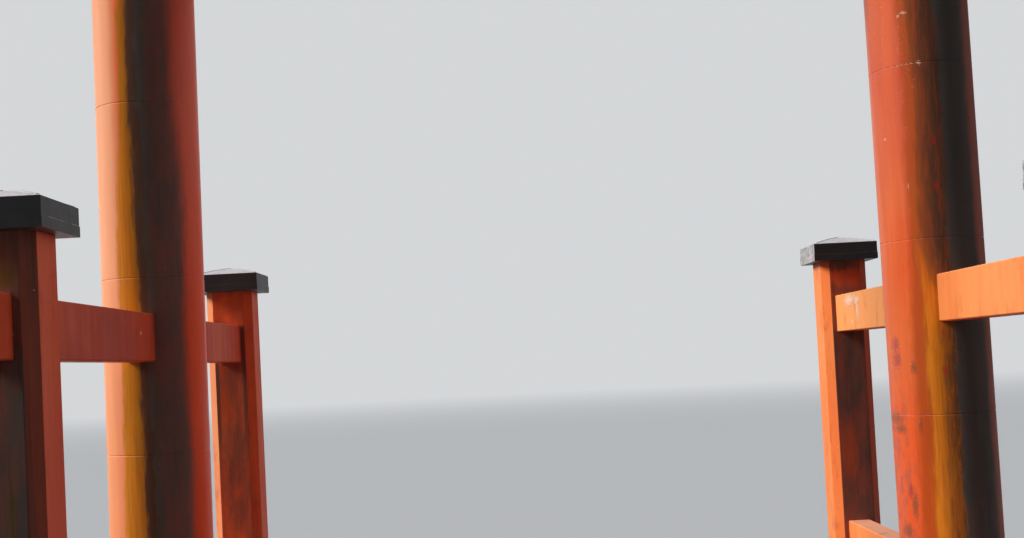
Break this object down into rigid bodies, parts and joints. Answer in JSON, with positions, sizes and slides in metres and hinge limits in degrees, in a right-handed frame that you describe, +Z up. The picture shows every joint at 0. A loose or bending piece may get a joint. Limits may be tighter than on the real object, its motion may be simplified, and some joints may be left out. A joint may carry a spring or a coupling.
{
  "type": "braced shrine gate",
  "caption": "Vermilion shrine gate: two round pillars under a swept double lintel, braced front and back by square posts with black caps and tie beams.",
  "frame": {"origin": "on the ground, midway between the two round pillars", "axes": "+X across the passage to the right pillar, +Y along the passage to the far side, +Z up"},
  "size_m": [10.8492, 7.225, 9.2079],
  "materials": {
    "vermilion_paint": "glossy weathered paint",
    "black_metal": "satin black, greyed on top",
    "granite": "rough dressed granite"
  },
  "bodies": {
    "root": {"left_pillar": "vermilion_paint", "left_pillar_stone": "granite", "left_pillar_sleeve": "black_metal", "left_ring_capital": "black_metal", "left_upper_tie": "vermilion_paint", "left_lower_tie": "vermilion_paint", "left_outer_wedge": "vermilion_paint", "left_inner_wedge": "vermilion_paint", "front_left_post": "vermilion_paint", "front_left_post_stone": "granite", "front_left_post_sleeve": "black_metal", "front_left_post_cap": "black_metal", "back_left_post": "vermilion_paint", "back_left_post_stone": "granite", "back_left_post_sleeve": "black_metal", "back_left_post_cap": "black_metal", "right_pillar": "vermilion_paint", "right_pillar_stone": "granite", "right_pillar_sleeve": "black_metal", "right_ring_capital": "black_metal", "right_upper_tie": "vermilion_paint", "right_lower_tie": "vermilion_paint", "right_outer_wedge": "vermilion_paint", "right_inner_wedge": "vermilion_paint", "front_right_post": "vermilion_paint", "front_right_post_stone": "granite", "front_right_post_sleeve": "black_metal", "front_right_post_cap": "black_metal", "back_right_post": "vermilion_paint", "back_right_post_stone": "granite", "back_right_post_sleeve": "black_metal", "back_right_post_cap": "black_metal", "through_beam": "vermilion_paint", "middle_strut": "vermilion_paint", "lower_lintel": "vermilion_paint", "upper_lintel": "vermilion_paint", "left_roof_end": "black_metal", "left_roof_middle": "black_metal", "right_roof_middle": "black_metal", "right_roof_end": "black_metal"}
  },
  "joints": []
}
